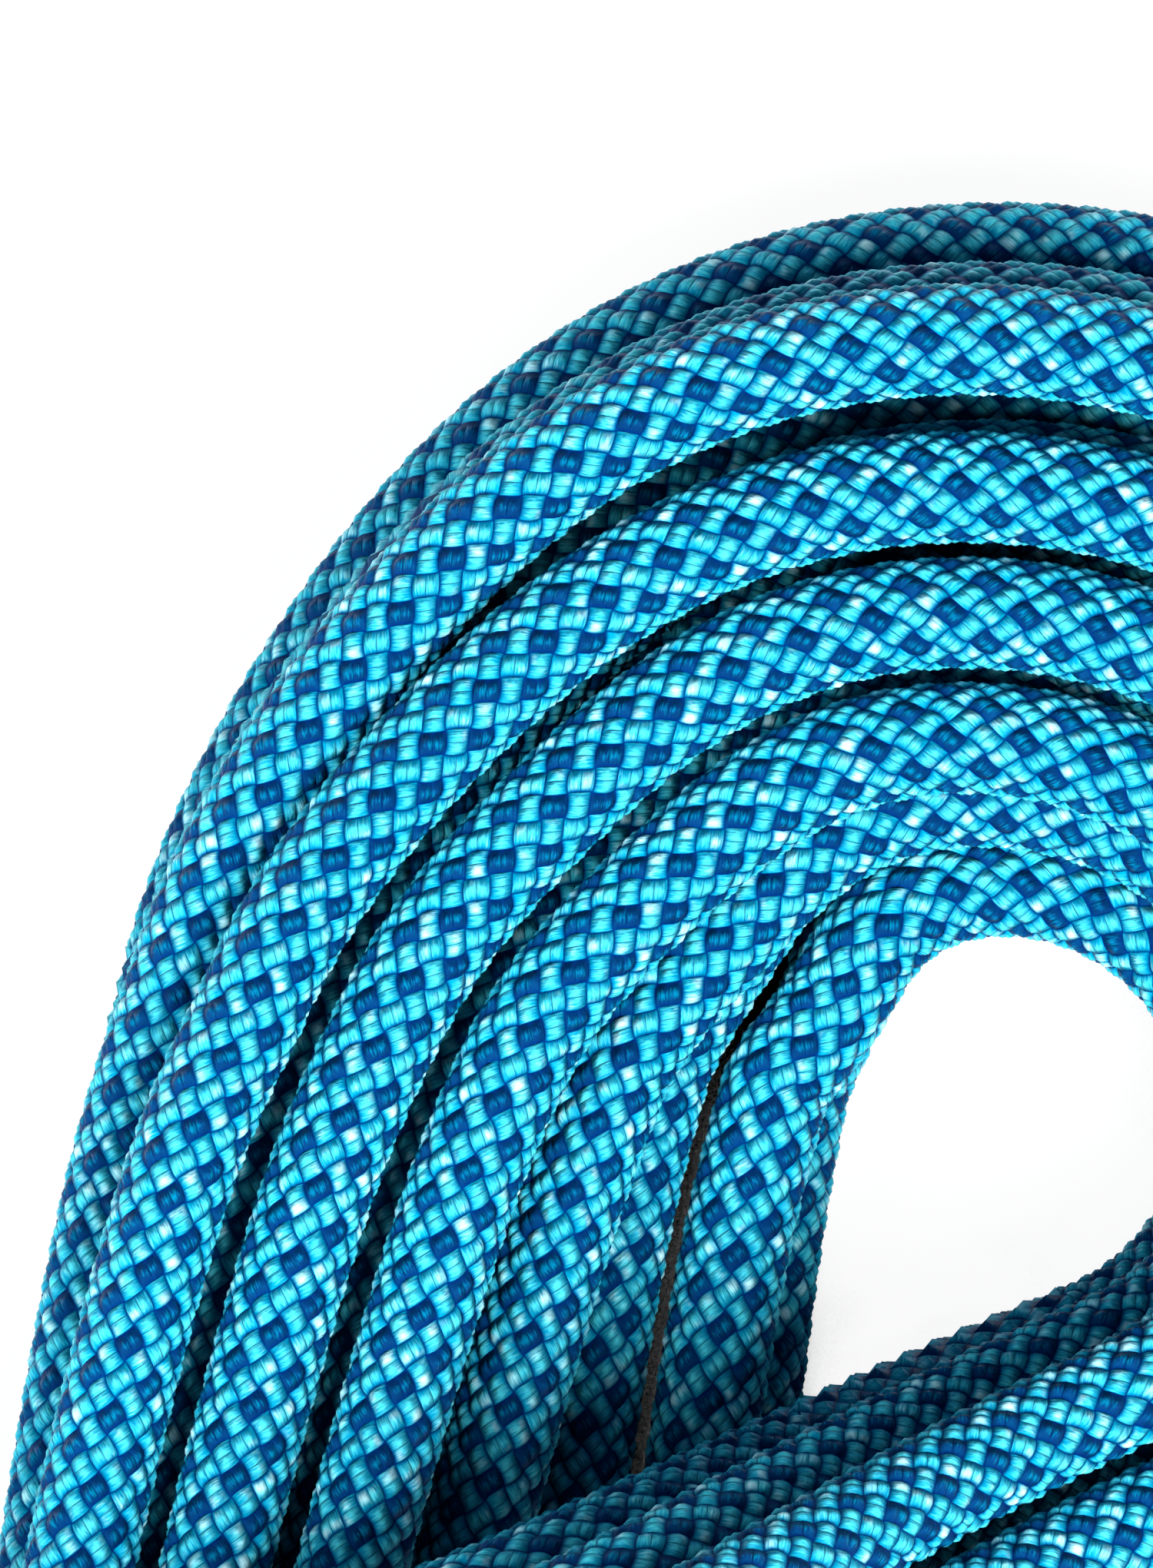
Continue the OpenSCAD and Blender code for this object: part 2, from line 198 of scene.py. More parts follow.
# Outer and inner strand of each layer, in lanes off the middle line, at twelve
# even stations along a loop; plus is the side that faces the upper lobe's hole.
# The outer column sinks by one layer beside the crossing, by a share.
stations = {
    "top_edge": [-2.85, -2.83, -2.25, -1.70, -1.05, -1.35, -1.55, -1.55, -1.55, -1.55, -1.90, -2.50],
    "top_outer": [-2.60, -2.35, -1.05, -0.60, 0.00, -0.30, -0.50, -0.50, -0.50, -0.50, -0.85, -1.40],
    "top_inner": [-0.50, -0.05, 1.05, 1.55, 2.10, 1.80, 1.60, 1.60, 1.60, 1.60, 1.25, 0.70],
    "third_edge": [-2.85, -2.83, -2.42, -2.20, -2.10, -2.05, -2.05, -2.05, -2.05, -2.05, -2.30, -2.65],
    "third_outer": [-1.80, -1.74, -1.10, -0.90, -0.50, -0.80, -1.00, -1.00, -1.00, -1.00, -1.20, -1.55],
    "third_inner": [0.35, 0.85, 1.55, 1.85, 2.40, 2.25, 2.00, 2.00, 2.00, 2.00, 1.70, 1.00],
    "second_edge": [-2.85, -2.83, -2.90, -2.85, -2.75, -2.65, -2.60, -2.60, -2.60, -2.60, -2.65, -2.75],
    "second_outer": [-1.75, -1.73, -1.75, -1.70, -1.55, -1.55, -1.53, -1.53, -1.53, -1.53, -1.60, -1.70],
    "second_inner": [2.40, 2.36, 2.40, 2.40, 2.50, 2.55, 2.55, 2.55, 2.55, 2.55, 2.50, 2.40],
    "floor_outer": [-1.70, -1.65, -1.75, -2.40, -2.40, -2.30, -2.30, -1.65, -1.65, -1.65, -1.65, -1.70],
    "floor_inner": [2.85, 2.65, 2.20, 2.20, 2.40, 2.50, 2.55, 2.55, 2.55, 2.55, 2.60, 2.75],
    "column_sink": [1, 1, 0, 0, 0, 0, 0, 0, 0, 0, 0, 0.5],
}

# Where the rope leaves a lane for the next one, in the lower lobe, and which
# places it climbs from, on the side where their layer ends
shift_start = 480.0
shift_len = 165.0
climb_side = {3: -1, 9: 1, 13: -1}
climb_bulge = 1.15
climb_from = 0.2
climb_share = 0.6
entry_lane = 1.6
exit_lane = 1.12

# The outer side of the first leg is drawn in a little past the crossing
hip_in = 3.5
hip_at = 100
hip_len = 22

# Ramps of the leg that passes over, from and to, measured from the crossing, and
# how far apart the layers stand on them: begin, softness, end, softness
crossing_gap = 1.2
hump_h = 4 * layer + crossing_gap
upper_ramp = (14, 83)
lower_ramp = (43, 115)
ramp_spread = 0.36
upper_spread = (6, 34, 112, 40)
lower_spread = (36, 36, 155, 45)

# The hank starts at this share of the lower lobe's arc, and its start comes down
# from the free end's height
start_share = 2 / 7
start_fall = 140
hank_start = upper_len + lower_scale * (leg + lobe_arc * start_share)
hank_end = hank_start + loops * loop_len


def ease(x):
    """Smooth step: 3 t^2 - 2 t^3 of x held between 0 and 1."""
    t = np.clip(x, 0, 1)
    return t * t * (3 - 2 * t)


def along(name, s):
    """Smooth curve through the twelve values of one station list (Catmull-Rom)."""
    values = np.array(stations[name], float)
    x = s / loop_len * len(values)
    i = np.floor(x).astype(int)
    t = x - i
    a, b, c, d = (values[(i + k) % len(values)] for k in (-1, 0, 1, 2))
    return (2 * b + (c - a) * t + (2 * a - 5 * b + 4 * c - d) * t**2 + (3 * b - a - 3 * c + d) * t**3) / 2


def between(outer, inner, share, s):
    """Lane at a share of the way from one station list to another."""
    low = along(outer, s)
    return low + (along(inner, s) - low) * share


def place(number, s):
    """Lane and layer of one place in the pile: floor layer inwards to outwards, then by turns."""
    sink = np.clip(along("column_sink", s), 0, 1)
    level = np.zeros_like(s)
    if number < 0:
        return along("floor_inner", s) + entry_lane, level
    if number < 4:
        return between("floor_outer", "floor_inner", (3 - number) / 3, s), level
    if number == 4:
        return along("second_edge", s), 1 - sink
    if number < 10:
        return between("second_outer", "second_inner", (number - 5) / 4, s), level + 1
    if number < 13:
        return between("third_inner", "third_outer", (number - 10) / 2, s), level + 2
    if number == 13:
        return along("third_edge", s), 2 - sink
    if number == 14:
        return along("top_edge", s), 3 - sink
    if number < 18:
        return between("top_outer", "top_inner", (number - 15) / 2, s), level + 3
    return along("top_inner", s) + exit_lane, level + 3


def middle(s):
    """Middle line of a loop, a figure of eight of four tangent legs and two arcs, and its heading."""
    low = s >= upper_len
    scale = np.where(low, lower_scale, 1.0)
    q = np.where(low, (s - upper_len) / lower_scale, s)
    turn = np.clip((q - leg) / lobe_r, 0, math.pi + 2 * half_angle) - half_angle
    x = np.where(q < leg, -q * math.sin(half_angle), -lobe_r * np.cos(turn))
    y = np.where(q < leg, q * math.cos(half_angle), lobe_reach + lobe_r * np.sin(turn))
    last = q > leg + lobe_arc
    x = np.where(last, (upper_len - q) * math.sin(half_angle), x)
    y = np.where(last, (upper_len - q) * math.cos(half_angle), y)
    side = np.where(low, -1.0, 1.0)
    return scale * x, side * scale * y, np.sin(turn), side * np.cos(turn)


def hump(past):
    """Height of the leg that passes over, by the length past the crossing."""
    before = ease((-past - upper_ramp[0]) / (upper_ramp[1] - upper_ramp[0]))
    after = ease((past - lower_ramp[0]) / (lower_ramp[1] - lower_ramp[0]))
    return hump_h * (1 - np.where(past < 0, before, after))


def spread(past):
    """How much further apart the layers stand where the ramps are steep."""
    away = np.abs(past)
    before, after = (
        ease((end - away) / end_soft) * ease((away - begin) / begin_soft)
        for begin, begin_soft, end, end_soft in (upper_spread, lower_spread)
    )
    return 1 + ramp_spread * np.where(past < 0, before, after)


def rope_at(g):
    """Centre of the rope at running lengths g in the hank: middle line, plus lane, hump and layer."""
    s = g % loop_len
    turn_number = np.floor((g - shift_start) / loop_len).astype(int)
    shifted = ease(((g - shift_start) % loop_len) / shift_len)
    off = np.zeros_like(g)
    level = np.zeros_like(g)
    for number in np.unique(turn_number):
        here = turn_number == number
        lane_from, level_from = place(number - 1, s[here])
        lane_to, level_to = place(number, s[here])
        side = climb_side.get(number - 1, 0)
        share = shifted[here]
        bulge = side * climb_bulge * np.sin(np.pi * share)
        off[here] = lane_from + (lane_to - lane_from) * share + bulge
        rise = ease((share - climb_from) / climb_share) if side else share
        level[here] = level_from + (level_to - level_from) * rise
    off = off * lane + hip_in * np.exp(-(((s - hip_at) / hip_len) ** 2))
    past = s - upper_len
    start_lift = (rest_z - floor_z) * (1 - ease((g - hank_start) / start_fall))
    z = floor_z + hump(past) + level * layer * spread(past) + start_lift
    x, y, toward_x, toward_y = middle(s)
    return np.stack([x + toward_y * off, y - toward_x * off, z], 1)


# Route of each free end, given as points; the last stretch is straight
lower_route = [(-97.5, -146), (-105, -130), (-110, -110), (-113, -90), (-117, -45)]
upper_route = [(-32, -186), (-15, -192), (2, -193.5), (19, -192), (60, -182)]
route_cuts = 40
tip_len = 5.0


def free_end(face, heading, route):
    """Smooth way from a hank's face: straight for one diameter, through the route, straight at the end.

    Each stretch is a cubic whose end slopes are those of the chords beside it.
    """
    flat = np.array([heading[0], heading[1], 0.0]) / np.hypot(heading[0], heading[1])
    points = [face, face + flat * rope_d, *[np.array([x, y, face[2]]) for x, y in route]]
    points = np.array(points)
    chords = np.diff(points, axis=0)
    lengths = np.linalg.norm(chords, axis=1, keepdims=True)
    slopes = chords / lengths
    joined = slopes[:-1] * lengths[1:] + slopes[1:] * lengths[:-1]
    tangents = np.vstack([slopes[:1], joined / np.linalg.norm(joined, axis=1, keepdims=True), slopes[-1:]])
    tangents[1] = slopes[0]
    tangents[-2] = slopes[-1]
    t = np.linspace(0, 1, route_cuts, endpoint=False)[:, None]
    a, b = points[:-1, None], points[1:, None]
    u, v = tangents[:-1, None] * lengths[:, None], tangents[1:, None] * lengths[:, None]
    curve = (2 * t**3 - 3 * t**2 + 1) * a + (t**3 - 2 * t**2 + t) * u
    curve = curve + (3 * t**2 - 2 * t**3) * b + (t**3 - t**2) * v
    return np.vstack([curve.reshape(-1, 3), points[-1:], points[-1:] + slopes[-1] * tip_len])


def outward(g, step):
    """Level unit heading out of the hank at its end g."""
    a, b = rope_at(np.array([g, g + step]))
    level_step = (a - b) * [1, 1, 0]
    return level_step / np.linalg.norm(level_step)


hank_samples = 30000
hank_line = rope_at(np.linspace(hank_start, hank_end, hank_samples))
start_way = outward(hank_start, 1.0)
end_way = outward(hank_end, -1.0)
start_face = hank_line[0] + start_way * rope_d
end_face = hank_line[-1] + end_way * rope_d
lower_end = free_end(start_face, start_way, lower_route)
upper_end = free_end(end_face, end_way, upper_route)
full_line = np.vstack([lower_end[::-1], hank_line, upper_end]) + crossing

# Even steps along the whole rope, and its heading, smoothed over a short window
steps = np.linalg.norm(np.diff(full_line, axis=0), axis=1)
full_line = full_line[np.concatenate([[True], steps > 1e-6])]
run = np.concatenate([[0], np.cumsum(np.linalg.norm(np.diff(full_line, axis=0), axis=1))])
rope_len = run[-1]
way_step = 0.5
way_run = np.arange(0, rope_len, way_step)
way = np.stack([np.interp(way_run, run, full_line[:, axis]) for axis in range(3)], 1)
way_heading = np.gradient(way, axis=0)
window_steps = 15
window = np.hanning(window_steps)[1:-1]
window = window / window.sum()
for axis in range(3):
    padded = np.pad(way_heading[:, axis], len(window) // 2, mode="edge")
    way_heading[:, axis] = np.convolve(padded, window, "valid")
way_heading /= np.linalg.norm(way_heading, axis=1, keepdims=True)


def tube_points(at, around, radius):
    """Points on a tube round the rope's way: at is the running length, around the share of a turn
    from the underside, and each point stands radius off the way, square to its heading."""
    centre = np.stack([np.interp(at, way_run, way[:, axis]) for axis in range(3)], -1)
    heading = np.stack([np.interp(at, way_run, way_heading[:, axis]) for axis in range(3)], -1)
    side = np.stack([heading[..., 1], -heading[..., 0], np.zeros_like(heading[..., 0])], -1)
    side /= np.linalg.norm(side, axis=-1, keepdims=True)
    up = np.cross(side, heading)
    angle = 2 * np.pi * around - np.pi / 2
    return centre + (np.cos(angle)[..., None] * side + np.sin(angle)[..., None] * up) * radius[..., None]


# ---------------------------------------------------------------- lining of the sheath
# Inner wall of the braided sheath, which closes round the core strands over the
# whole length. It carries the rope's measure: its length and its diameter.

lining_r = 4.15
lining_sides = 12
lining_step = 4.0


def plain_tube(name, first, last, radius, sides, step):
    """Closed tube round the way between two running lengths, with a fan of faces on each end."""
    count = int(round((last - first) / step)) + 1
    at = np.repeat(np.linspace(first, last, count), sides)
    around = np.tile(np.arange(sides) / sides, count)
    points = tube_points(at, around, np.full(at.shape, radius))
    ends = tube_points(np.array([first, last]), np.zeros(2), np.zeros(2))
    ring, side = (v.ravel() for v in np.meshgrid(np.arange(count - 1), np.arange(sides), indexing="ij"))
    here, beside = ring * sides + side, ring * sides + (side + 1) % sides
    next_here, next_beside = here + sides, beside + sides
    rim = np.arange(sides)
    turned = (rim + 1) % sides
    far = (count - 1) * sides
    hub = np.full(sides, count * sides)
    faces = np.concatenate(
        [
            np.stack([here, next_beside, beside], 1),
            np.stack([here, next_here, next_beside], 1),
            np.stack([hub, rim, turned], 1),
            np.stack([hub + 1, far + turned, far + rim], 1),
        ]
    )
    return new_mesh(name, np.vstack([points, ends]) * MM, faces)


sheath_lining = plain_tube(
    "sheath_lining", tip_len, rope_len - tip_len, lining_r, lining_sides, lining_step
)
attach(sheath_lining, "root")


# ---------------------------------------------------------------- braided sheath
# Ten pairs of nylon yarns run each way round the rope and cross one over one.
# One direction is bright cyan, in the other navy and cyan pairs take turns, and
# pale filaments show through here and there.

# Pairs each way round, and the length along the rope of one pair's cell
pairs = 10
pitch = 3.24
# Radius of the highest yarn, and how far the deepest place lies under it
weave_top = 4.98
weave_depth = 0.68
# Shape of a pair: height of its rim, bend of its sides, and how full its crown is
edge_share = 0.36
pair_bulge = 0.05
width_power = 0.4
length_power = 1.2


def weave_height(p, q, groove):
    """Height of the braid from 0 to 1 over its own lattice, p across one set of pairs and q across
    the other. Both are first bent by pair_bulge times a cosine times a sine, so that a pair is
    widest in its middle. The upper pair of a cell is a power of the sine of its width times a
    power of the sine of its length, on a rim of edge_share, and a groove of the given depth parts
    its two yarns."""
    p, q = (
        p + pair_bulge * np.cos(np.pi * p) * np.sin(np.pi * q),
        q - pair_bulge * np.cos(np.pi * q) * np.sin(np.pi * p),
    )
    i, j = np.floor(p + 1e-6), np.floor(q + 1e-6)
    turned = (i + j) % 2 > 0.5
    across = np.where(turned, q - j, p - i)
    length = np.where(turned, p - i, q - j)
    width_sine = np.clip(np.sin(np.pi * across), 0, 1)
    length_sine = np.clip(np.sin(np.pi * length), 0, 1)
    crown = width_sine**width_power * length_sine**length_power
    parting = 1 - groove * (1 - np.abs(np.sin(2 * np.pi * across))) * length_sine
    return ((1 - edge_share) * crown + edge_share * np.maximum(width_sine, length_sine)) * parting


def braided_skin(name, stretches, cuts, groove):
    """Outer skin of the sheath over stretches given in whole pitches, cuts samples to half a pair,
    with a wall at both ends of a stretch down to the lining. Every second face is split the other
    way, so that the edges follow both sets of yarns."""
    columns = 2 * pairs * cuts
    half = 2 * cuts
    points, faces, corners = [], [], []
    base = 0
    for first, last in stretches:
        rings = (last - first) * half + 1
        ring, column = np.meshgrid(np.arange(rings), np.arange(columns), indexing="ij")
        turns, along_pitch = column / half, first + ring / half
        height = weave_height(turns + along_pitch, turns - along_pitch, groove)
        at, around = along_pitch * pitch, turns / pairs
        skin = tube_points(at, around, weave_top - weave_depth * (1 - height))
        ends = [0, rings - 1]
        rims = tube_points(at[ends], around[ends], np.full((2, columns), lining_r))
        points += [skin.reshape(-1, 3), skin[ends].reshape(-1, 3), rims.reshape(-1, 3)]

        # Four corners of each face and their places on the braid's lattice
        ring, column = ring[:-1].ravel(), column[:-1].ravel()
        here = base + ring * columns + column
        beside = base + ring * columns + (column + 1) % columns
        across, ahead = beside + columns, here + columns
        uv_here = np.stack([column, first * half + ring], 1) / half
        uv_beside, uv_across, uv_ahead = (
            uv_here + np.array(step) * 0.5 / cuts for step in ([1, 0], [1, 1], [0, 1])
        )
        even = ((ring + column) % 2 == 0)[:, None]
        one = np.where(even, np.stack([here, across, beside], 1), np.stack([here, ahead, beside], 1))
        two = np.where(even, np.stack([here, ahead, across], 1), np.stack([beside, ahead, across], 1))
        even = even[:, None]
        uv_one = np.where(
            even,
            np.stack([uv_here, uv_across, uv_beside], 1),
            np.stack([uv_here, uv_ahead, uv_beside], 1),
        )
        uv_two = np.where(
            even,
            np.stack([uv_here, uv_ahead, uv_across], 1),
            np.stack([uv_beside, uv_ahead, uv_across], 1),
        )

        # Walls of both ends, between the skin's rim and the lining's
        outer = base + rings * columns + np.arange(columns)
        outer_next = base + rings * columns + (np.arange(columns) + 1) % columns
        inner, inner_next = outer + 2 * columns, outer_next + 2 * columns
        near = [[outer, outer_next, inner], [inner, outer_next, inner_next]]
        far = [[outer, inner, outer_next], [inner, inner_next, outer_next]]
        near_wall = np.concatenate([np.stack(face, 1) for face in near])
        far_wall = np.concatenate([np.stack(face, 1) for face in far]) + columns
        faces += [one, two, near_wall, far_wall]
        corners += [uv_one, uv_two, np.full((4 * columns, 3, 2), [0.5, first + 0.5])]
        base += (rings + 4) * columns
    uv = np.concatenate(corners).reshape(-1, 2)
    return new_mesh(name, np.vstack(points) * MM, np.concatenate(faces), uv)


# Height map that tells which stretches lie open to view: its cells, its border, and
# the rim of the rope's round top that is left out
map_cell = 0.8
map_border = 8.0
dome_rim = 0.3
seen_depth = 0.9
seen_share = 0.1


def seen_from_above(margin):
    """Which steps of the way show in the camera's view: those whose top stands within seen_depth
    of the largest height, in a map of square cells, over more than seen_share of their width."""
    centre, up = view_centre / MM, view_up / np.linalg.norm(view_up)
    right = np.array([up[1], -up[0]])
    offset = way[:, :2] - centre
    scale = (view_height / MM - view_subject_height / MM) / (view_height / MM - way[:, 2])
    half_tall = view_long_side / MM / 2
    half_wide = half_tall * view_shape
    inside = np.abs(offset @ right) * scale < half_wide + margin
    inside &= np.abs(offset @ up) * scale < half_tall + margin
    chosen = np.flatnonzero(inside)[::2]

    # A round dome of heights stands on each chosen step
    reach = int(rope_d / 2 / map_cell)
    spaced = np.arange(-reach, reach + 1) * map_cell
    dx, dy = (v.ravel() for v in np.meshgrid(spaced, spaced))
    disc = np.hypot(dx, dy) < rope_d / 2 - dome_rim
    dx, dy = dx[disc], dy[disc]
    dome = np.sqrt((rope_d / 2) ** 2 - dx**2 - dy**2)
    low = offset[chosen].min(0) - map_border
    column = np.floor((offset[chosen, :1] + dx - low[0]) / map_cell).astype(int)
    row = np.floor((offset[chosen, 1:] + dy - low[1]) / map_cell).astype(int)
    top = way[chosen, 2:3] + dome
    heights = np.zeros((column.max() + 2, row.max() + 2))
    np.maximum.at(heights, (column, row), top)
    seen = chosen[(top > heights[column, row] - seen_depth).mean(1) > seen_share]
    shown = np.zeros(len(way), bool)
    shown[seen] = True
    shown[seen + 1] = True
    return shown


# Whole pitches that show closely, widened a little and joined where they nearly meet
view_margin = 4.0
joining_pitches = 7
last_pitch = int(rope_len / pitch)
body_from = int(math.ceil(tip_len / pitch))
body_to = int((rope_len - tip_len) / pitch)
shown_pitch = np.zeros(last_pitch + 2, bool)
shown_pitch[(way_run[seen_from_above(view_margin)] / pitch).astype(int)] = True
close = np.convolve(shown_pitch, np.ones(joining_pitches), "same") > 0
edges = np.flatnonzero(np.diff(close.astype(int)))
close_stretches = [(int(a) + 1, int(b) + 1) for a, b in zip(edges[::2], edges[1::2])]


def shared_out(stretches, most):
    """Groups of stretches, each at most a given number of pitches long; longer ones are cut."""
    groups, room = [[]], most
    for first, last in stretches:
        while last > first:
            if room == 0:
                groups.append([])
                room = most
            piece = min(last - first, room)
            groups[-1].append((first, first + piece))
            first += piece
            room -= piece
    return groups


far_ends = [body_from] + [b for _, b in close_stretches]
far_starts = [a for a, _ in close_stretches] + [body_to]
other_stretches = [(a, b) for a, b in zip(far_ends, far_starts) if b > a]
# Samples to half a pair, depth of the groove between two yarns, and the most
# pitches in one piece, for the stretches in close view and for the others
close_cuts, close_groove, close_most = 4, 0.35, 145
other_cuts, other_groove, other_most = 1, 0.0, 2300
close_skins = [
    braided_skin(f"sheath_close_{number}", group, close_cuts, close_groove)
    for number, group in enumerate(shared_out(close_stretches, close_most), 1)
]
other_skins = [
    braided_skin(f"sheath_plain_{number}", group, other_cuts, other_groove)
    for number, group in enumerate(shared_out(other_stretches, other_most), 1)
]


def new_group(name, inputs, outputs):
    """A shader node group with its sockets: inputs are (name, kind, value), outputs (name, kind)."""
    group = bpy.data.node_groups.new(name, "ShaderNodeTree")
    for label, kind, value in inputs:
        socket = group.interface.new_socket(label, in_out="INPUT", socket_type=kind)
        socket.default_value = value
    for label, kind in outputs:
        group.interface.new_socket(label, in_out="OUTPUT", socket_type=kind)
    return group, group.nodes.new("NodeGroupInput"), group.nodes.new("NodeGroupOutput")


def calc(tree, operation, *values):
    """The result of one Math node."""
    return add(tree, "ShaderNodeMath", *values, operation=operation).outputs[0]


def lerp(tree, share, low, high):
    """low plus share times (high minus low)."""
    return calc(tree, "MULTIPLY_ADD", calc(tree, "SUBTRACT", high, low), share, low)


def ramp(tree, value, low, high):
    """Smooth step of a value from 0 at low to 1 at high."""
    made = add(tree, "ShaderNodeMapRange", value, low, high, 0.0, 1.0, interpolation_type="SMOOTHSTEP")
    return made.outputs[0]


def blend_colour(tree, share, low, high):
    """One colour mixed into another by a share; the node's colours come after five other sockets."""
    return add(tree, "ShaderNodeMix", share, *[None] * 5, low, high, data_type="RGBA").outputs[2]


colour_kind, number_kind, vector_kind = "NodeSocketColor", "NodeSocketFloat", "NodeSocketVector"
braid, given, result = new_group(
    "braid",
    [
        ("Braid", vector_kind, (0, 0, 0)),
        ("Bright", colour_kind, (0.06, 0.5, 0.57, 1)),
        ("Middle", colour_kind, (0.0, 0.19, 0.32, 1)),
        ("Navy", colour_kind, (0.001, 0.024, 0.095, 1)),
        ("Fleck", colour_kind, (0.42, 0.68, 0.72, 1)),
        ("Shade", colour_kind, (0.0, 0.009, 0.085, 1)),
        ("Relief", number_kind, 1.0),
    ],
    [("Color", colour_kind), ("Height", number_kind), ("Roughness", number_kind)],
)

# The braid's lattice, bent as in weave_height: which pair is on top of each cell, and
# the places across it, along it and round the rope
place_on = add(braid, "ShaderNodeSeparateXYZ", given.outputs["Braid"])
turns, way_along = place_on.outputs[0], place_on.outputs[1]
even_p = calc(braid, "ADD", turns, way_along)
even_q = calc(braid, "SUBTRACT", turns, way_along)
p_turn, q_turn = calc(braid, "MULTIPLY", even_p, math.pi), calc(braid, "MULTIPLY", even_q, math.pi)
p_bend = calc(braid, "MULTIPLY", calc(braid, "COSINE", p_turn), calc(braid, "SINE", q_turn))
q_bend = calc(braid, "MULTIPLY", calc(braid, "COSINE", q_turn), calc(braid, "SINE", p_turn))
p = calc(braid, "MULTIPLY_ADD", p_bend, pair_bulge, even_p)
q = calc(braid, "MULTIPLY_ADD", q_bend, -pair_bulge, even_q)
p_cell, q_cell = calc(braid, "FLOOR", p), calc(braid, "FLOOR", q)
p_part, q_part = calc(braid, "SUBTRACT", p, p_cell), calc(braid, "SUBTRACT", q, q_cell)
crossed = calc(braid, "FLOORED_MODULO", calc(braid, "ADD", p_cell, q_cell), 2.0)
across = lerp(braid, crossed, p_part, q_part)
length = lerp(braid, crossed, q_part, p_part)
carrier = lerp(braid, crossed, p_cell, q_cell)
follow = lerp(braid, crossed, q, p)
yarn = calc(braid, "FLOOR", calc(braid, "MULTIPLY", across, 2.0))
yarn_part = calc(braid, "FRACT", calc(braid, "MULTIPLY", across, 2.0))
yarn_mark = calc(braid, "MULTIPLY_ADD", carrier, 2.0, yarn)
navy = calc(
    braid,
    "MULTIPLY",
    crossed,
    calc(braid, "SUBTRACT", 1.0, calc(braid, "FLOORED_MODULO", q_cell, 2.0)),
)

# Height: one rounded yarn beside the other, arched over the pair below
width_sine = calc(braid, "SINE", calc(braid, "MULTIPLY", across, math.pi))
length_sine = calc(braid, "SINE", calc(braid, "MULTIPLY", length, math.pi))
yarn_sine = calc(braid, "SINE", calc(braid, "MULTIPLY", yarn_part, math.pi))
crown = calc(
    braid,
    "MULTIPLY",
    calc(braid, "POWER", width_sine, width_power),
    calc(braid, "POWER", length_sine, length_power),
)
yarn_round = calc(braid, "POWER", yarn_sine, 0.6)
block = calc(braid, "MULTIPLY", crown, calc(braid, "MULTIPLY_ADD", yarn_round, 0.6, 0.4))

# Filaments run along each yarn and lie a little slack
filament_at = add(
    braid,
    "ShaderNodeCombineXYZ",
    calc(braid, "MULTIPLY_ADD", across, 13.0, calc(braid, "MULTIPLY", yarn_mark, 3.7)),
    calc(braid, "MULTIPLY", follow, 1.6),
    calc(braid, "MULTIPLY", crossed, 31.0),
)
streak = add(braid, "ShaderNodeTexNoise", filament_at.outputs[0], None, 1.0, 3.0, 0.6).outputs[0]
streak_off = calc(braid, "SUBTRACT", streak, 0.5)

# Pale flecks lie on the crests of single cyan yarns
fleck_at = add(
    braid,
    "ShaderNodeCombineXYZ",
    calc(braid, "MULTIPLY", yarn_mark, 5.13),
    calc(braid, "MULTIPLY", follow, 1.15),
    calc(braid, "MULTIPLY_ADD", crossed, 17.0, calc(braid, "MULTIPLY", across, 0.6)),
)
fleck_noise = add(braid, "ShaderNodeTexNoise", fleck_at.outputs[0], None, 1.0, 0.0, 0.5).outputs[0]
crest = calc(braid, "MULTIPLY", ramp(braid, length_sine, 0.15, 0.95), ramp(braid, yarn_sine, 0.0, 0.9))
fleck_edge = calc(braid, "MULTIPLY_ADD", streak_off, 0.4, fleck_noise)
fleck = calc(braid, "MULTIPLY", ramp(braid, fleck_edge, 0.54, 0.9), crest)
fleck = calc(braid, "MULTIPLY", fleck, calc(braid, "SUBTRACT", 1.0, navy))

# Cyan, brightest on the crown of a pair as painted light, over random variation along its filaments and
# from cell to cell;
# the navy filaments get a painted glint toward the crown too
cell_mark = add(braid, "ShaderNodeCombineXYZ", p_cell, q_cell, yarn)
cell_tone = add(braid, "ShaderNodeTexWhiteNoise", cell_mark.outputs[0], noise_dimensions="3D").outputs[0]
uneven = calc(braid, "MULTIPLY", streak_off, 2.4)
uneven = calc(braid, "MULTIPLY_ADD", calc(braid, "SUBTRACT", cell_tone, 0.5), 0.3, uneven)
crown_light_and_tone = calc(braid, "ADD", crown, uneven)
cyan = blend_colour(braid, ramp(braid, crown_light_and_tone, 0.1, 1.45), given.outputs["Middle"], given.outputs["Bright"])
glint = calc(braid, "MULTIPLY", ramp(braid, crown_light_and_tone, 0.6, 1.3), 0.55)
navy_lit = blend_colour(braid, glint, given.outputs["Navy"], given.outputs["Middle"])
# The yarns' own colours, with the painted crown light and painted glint in them
dyed_with_painted_light = blend_colour(braid, navy, cyan, navy_lit)
dyed_with_painted_light = blend_colour(braid, fleck, dyed_with_painted_light, given.outputs["Fleck"])

# Painted shade where a pair dives under the next, at its sides, and between its two yarns
dive = calc(braid, "POWER", ramp(braid, length_sine, 0.0, 0.62), 0.75)
sided = calc(braid, "MULTIPLY_ADD", ramp(braid, width_sine, 0.0, 0.16), 0.35, 0.65)
parted = calc(braid, "MULTIPLY_ADD", ramp(braid, yarn_sine, 0.0, 0.24), 0.6, 0.4)
depth = calc(braid, "MULTIPLY", calc(braid, "MULTIPLY", dive, sided), parted)
final = blend_colour(braid, depth, given.outputs["Shade"], dyed_with_painted_light)
braid.links.new(final, result.inputs["Color"])
fine = calc(braid, "MULTIPLY", streak_off, 0.3)
braid.links.new(calc(braid, "MULTIPLY_ADD", block, given.outputs["Relief"], fine), result.inputs["Height"])
braid.links.new(calc(braid, "MULTIPLY_ADD", streak, 0.25, 0.4), result.inputs["Roughness"])


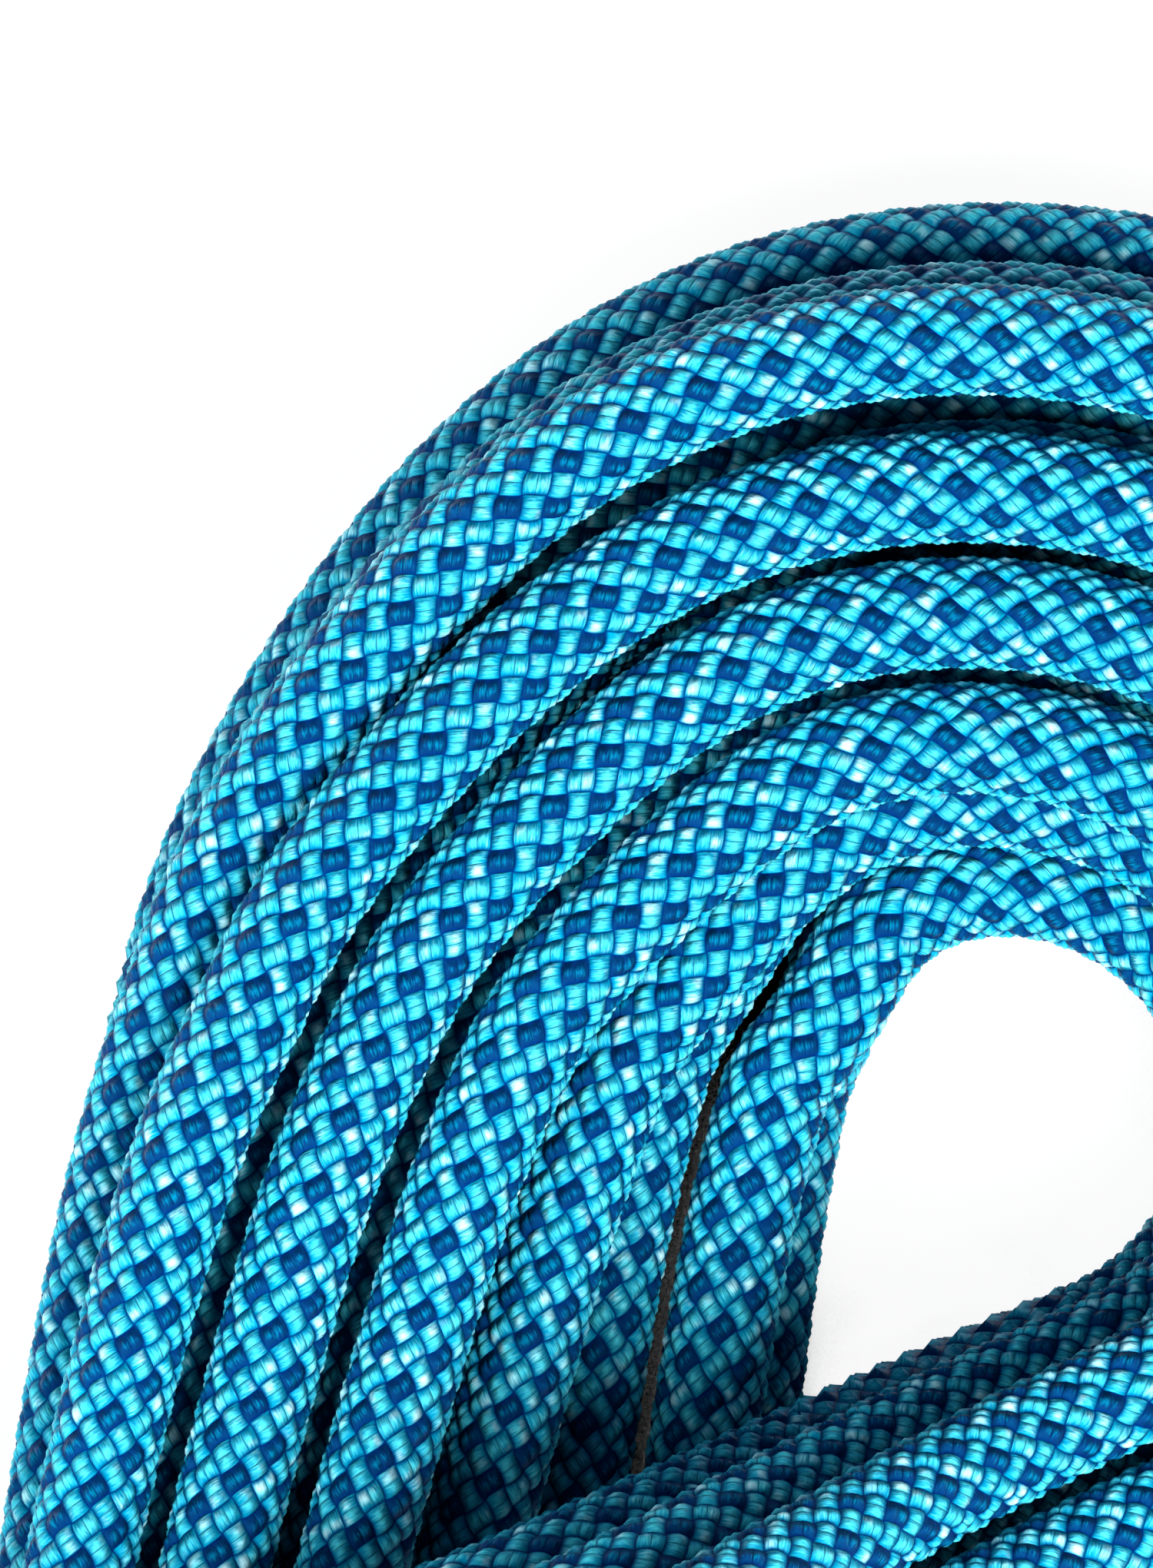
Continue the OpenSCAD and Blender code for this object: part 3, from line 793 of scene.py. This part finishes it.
def braided_nylon(name, relief):
    """Nylon yarn finish: filaments in their own colours with painted shade and painted crown light, a soft
    gloss, their relief by a share.
    """
    made, out = new_material(name)
    tree = made.node_tree
    own = add(tree, "ShaderNodeUVMap", uv_map="braid")
    woven = add(tree, "ShaderNodeGroup", own.outputs[0], node_tree=braid)
    woven.inputs["Relief"].default_value = relief
    bump = tree.nodes.new("ShaderNodeBump")
    bump.inputs["Distance"].default_value = 0.45 * MM
    bump.inputs["Strength"].default_value = 1.0
    tree.links.new(woven.outputs["Height"], bump.inputs["Height"])
    nylon = tree.nodes.new("ShaderNodeBsdfPrincipled")
    tree.links.new(woven.outputs["Color"], nylon.inputs["Base Color"])
    tree.links.new(woven.outputs["Roughness"], nylon.inputs["Roughness"])
    tree.links.new(bump.outputs["Normal"], nylon.inputs["Normal"])
    nylon.inputs["Specular IOR Level"].default_value = 0.14
    nylon.inputs["Specular Tint"].default_value = (0.0, 0.6, 1.0, 1)
    tree.links.new(nylon.outputs[0], out.inputs["Surface"])
    return made


close_nylon = braided_nylon("nylon_braid_close", 1.1)
other_nylon = braided_nylon("nylon_braid", 1.0)
for skin in close_skins:
    skin.data.materials.append(close_nylon)
for skin in other_skins:
    skin.data.materials.append(other_nylon)
for skin in close_skins + other_skins:
    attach(skin, "root")
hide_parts("rope_hank", "sheath_lower_end", "sheath_upper_end")


# ---------------------------------------------------------------- core strands and marker tape
# White twisted nylon strands carry the load inside the sheath, with a narrow
# printed plastic tape laid in along their middle. Both ends have them in full.


def plain_finish(name, colour, roughness, more=()):
    """A Principled finish with a fine noise in its relief; more holds further (socket, value) pairs."""
    made, out = new_material(name)
    tree = made.node_tree
    own = add(tree, "ShaderNodeTexCoord")
    grain = add(tree, "ShaderNodeTexNoise", own.outputs["Object"], None, 900.0, 3.0, 0.6)
    bump = tree.nodes.new("ShaderNodeBump")
    bump.inputs["Distance"].default_value = 0.1 * MM
    bump.inputs["Strength"].default_value = 0.6
    tree.links.new(grain.outputs[0], bump.inputs["Height"])
    solid = tree.nodes.new("ShaderNodeBsdfPrincipled")
    solid.inputs["Base Color"].default_value = colour
    solid.inputs["Roughness"].default_value = roughness
    for label, value in more:
        solid.inputs[label].default_value = value
    tree.links.new(bump.outputs["Normal"], solid.inputs["Normal"])
    tree.links.new(solid.outputs[0], out.inputs["Surface"])
    return made


def finish_nodes(kind, material):
    """Gives a CAD piece at both ends its material."""
    for end in ("lower", "upper"):
        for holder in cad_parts[f"{kind}_{end}_end"].material_slots:
            holder.material = material


core_nylon = plain_finish("core_nylon", (0.85, 0.85, 0.8, 1), 0.6)
sheath_lining.data.materials.append(core_nylon)
finish_nodes("core", core_nylon)
finish_nodes("tape", plain_finish("marker_tape", (0.8, 0.65, 0.08, 1), 0.35))


# ---------------------------------------------------------------- label, sleeve and sealed tip
# A paper-thin label band lies on the sheath under a clear heat-shrunk sleeve,
# and the rope's last millimetres are melted into a hard dark cap.

finish_nodes("label", plain_finish("label_film", (0.86, 0.88, 0.9, 1), 0.45))
clear = (("Transmission Weight", 1.0), ("IOR", 1.45))
finish_nodes("sleeve", plain_finish("clear_sleeve", (0.95, 0.98, 1, 1), 0.12, clear))
finish_nodes("tip", plain_finish("melted_nylon", (0.0, 0.04, 0.09, 1), 0.3))
